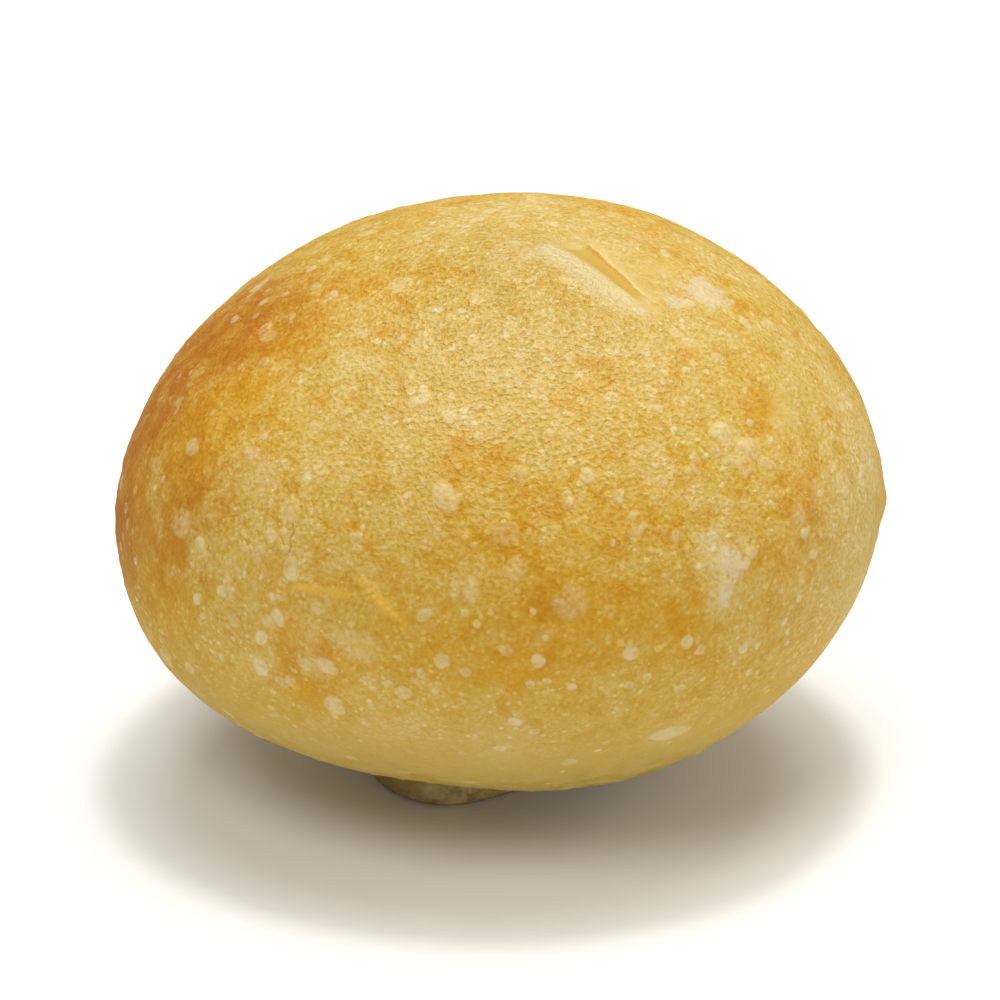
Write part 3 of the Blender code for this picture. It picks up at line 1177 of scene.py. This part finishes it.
def markPoints(surface, mark, number, shares):
    # two skins, the outer and the inner one, each from its middle out
    azimuth, elevation, wide, tall, turn, rise = mark[:6]
    kind = mark[-1]
    looks, sides = markLooks, markLooks["sides"]
    angle = np.arange(sides) * math.tau / sides
    edge = outlineOf(kind, angle, np.random.default_rng(number + looks["outlineSeed"]))
    curlTurn = np.random.default_rng(number + looks["curlSeed"]).uniform(0, math.tau)
    hit, normal = surface.ray_cast(heart, directionOf(azimuth, elevation))[:2]
    right = Vector((0, 0, 1)).cross(normal).normalized()
    up, spin = normal.cross(right), math.radians(turn)
    points = []
    for layer in (0, 1):
        for ring, share in enumerate(shares):
            lifts = liftOf(kind, share, rise * mm, angle, curlTurn)
            for k in range(sides if ring else 1):
                u = wide * mm * share * edge[k] * math.cos(angle[k])
                v = tall * mm * share * edge[k] * math.sin(angle[k])
                across = u * math.cos(spin) - v * math.sin(spin)
                along = u * math.sin(spin) + v * math.cos(spin)
                near, facing = surface.find_nearest(hit + right * across + up * along)[:2]
                lift = float(lifts[k])
                if kind == "flake":
                    lift -= looks["flakeThickness"] * layer
                elif layer or share == 1:
                    lift = -looks["innerSink"] if layer else -looks["rimSink"]
                points.append(near + facing * lift)
    return points


def markFaces(start, sides, rings):
    # the faces of both skins and of the rim that closes them
    def at(layer, ring, k):
        inner = 1 + (ring - 1) * sides + k % sides if ring else 0
        return start + layer * (1 + sides * rings) + inner

    faces = []
    for k in range(sides):
        for layer in (0, 1):
            for ring in range(rings):
                corners = [at(layer, ring, k), at(layer, ring + 1, k), at(layer, ring + 1, k + 1)]
                corners += [at(layer, ring, k + 1)] if ring else []
                faces.append(corners[::-1] if layer else corners)
        faces.append([at(0, rings, k), at(1, rings, k), at(1, rings, k + 1), at(0, rings, k + 1)])
    return faces


def makeMarks(crust, material):
    looks = markLooks
    sides, rings = looks["sides"], looks["rings"]
    surface = BVHTree.FromObject(crust, bpy.context.evaluated_depsgraph_get())
    shares = [(ring / rings) ** looks["ringCrowding"] for ring in range(rings + 1)]
    crown = [1.0]
    for share in shares[1:]:
        crown += [1 - share**2] * sides
    points, faces, crowns, tones, flaky = [], [], [], [], []
    for number, mark in enumerate(looks["marks"]):
        faces += markFaces(len(points), sides, rings)
        points += markPoints(surface, mark, number, shares)
        tone, kind = mark[6:]
        crowns += crown * 2
        tones += [tone] * len(crown) * 2
        flaky += [float(kind == "flake")] * len(crown) * 2
    mesh = bpy.data.meshes.new("marks")
    mesh.from_pydata([tuple(point) for point in points], [], faces)
    mesh.shade_smooth()
    for name, value in (("crown", crowns), ("tone", tones), ("flaky", flaky)):
        layer = mesh.attributes.new(name, "FLOAT", "POINT")
        layer.data.foreach_set("value", np.array(value, np.float32))
    mesh.materials.append(material)
    obj = addObject("marks", mesh)
    paintPatches(obj)
    print("marks faces:", len(mesh.polygons))
    return obj


# the roll, built up piece by piece


def finishPiece(obj):
    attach(obj, "root")
    return obj


def makeCrust():
    crust = settle(smoothCopyOfFrame())
    refineGroove(crust)
    pressDents(crust)
    paintPatches(crust)
    giveModifier(crust, reliefGroup(), crustRelief)
    settle(crust)
    crust.data.materials.clear()
    crust.data.materials.append(crustMaterial())
    print("crust faces:", len(crust.data.polygons))
    return crust


# the stage: floor, light and camera

stageLooks = {
    "floorRadius": 6.0,
    "floorSides": 64,
    "floorColours": (srgb(246, 245, 243), srgb(236, 235, 232)),
    "floorRoughness": 0.9,
    "cloudSize": 0.4,
    "cloudStrength": 0.25,
    "skyStrength": 0.26,
    # place, size, energy
    "lights": {
        "topLight": ((0.08, 0.16, 1.1), 0.9, 8.5),
        "glintLight": ((0.06, 0.05, 1.1), 0.16, 3.0),
        "keyLight": ((-0.2, -0.4, 0.62), 0.35, 1.8),
        "rightLight": ((0.8, 0.0, 0.35), 0.5, 1.4),
        "frontLight": ((0.1, -0.8, 0.12), 0.6, 0.38),
    },
}

cameraPlace = {"elevation": 24.0, "distance": 0.45, "lens": 172.0}


def areaLight(name, place, size, energy):
    light = bpy.data.lights.new(name, "AREA")
    light.shape = "DISK"
    light.size = size
    light.energy = energy
    obj = addObject(name, light)
    obj.location = place
    obj.rotation_euler = (heart - Vector(place)).to_track_quat("-Z", "Y").to_euler()


def makeStage():
    looks = stageLooks
    build = bmesh.new()
    sides, radius = looks["floorSides"], looks["floorRadius"]
    bmesh.ops.create_circle(build, cap_ends=True, segments=sides, radius=radius)
    mesh = bpy.data.meshes.new("floor")
    build.to_mesh(mesh)
    build.free()
    floor = addObject("floor", mesh)
    material, tree, place = newMaterial("floorPaper")
    cloud = tree.noise(place, looks["cloudSize"], 2.0) * looks["cloudStrength"]
    colour = tree.mixColour(cloud, *looks["floorColours"])
    finishMaterial(tree, {"Roughness": looks["floorRoughness"]}, {"Base Color": colour})
    mesh.materials.append(material)
    for name, (place, size, energy) in looks["lights"].items():
        areaLight(name, place, size, energy)
    world = bpy.data.worlds.new("studio")
    world.use_nodes = True
    sky = world.node_tree.nodes["Background"]
    sky.inputs["Color"].default_value = (1.0, 1.0, 1.0, 1.0)
    sky.inputs["Strength"].default_value = looks["skyStrength"]
    bpy.context.scene.world = world
    bpy.context.scene.view_settings.view_transform = "Standard"
    print("stage lights:", len(looks["lights"]))


def makeCamera():
    lens = bpy.data.cameras.new("camera")
    lens.lens = cameraPlace["lens"]
    camera = addObject("camera", lens)
    away = directionOf(-90, cameraPlace["elevation"])
    target = (boxLow + boxHigh) / 2
    camera.location = target + away * cameraPlace["distance"]
    camera.rotation_euler = (-away).to_track_quat("-Z", "Y").to_euler()
    bpy.context.scene.camera = camera


def main():
    makeStage()
    makeCamera()
    crust = makeCrust()
    skin = blisterMaterial()
    group = blisterGroup()
    small = scatter("smallBlisters", crust, group, smallBlisters, skin)
    large = scatter("largeBlisters", crust, group, largeBlisters, skin)
    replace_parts(finishPiece(crust), "roll")
    marks = makeMarks(crust, skin)
    for piece in (small, large, marks):
        finishPiece(piece)


main()
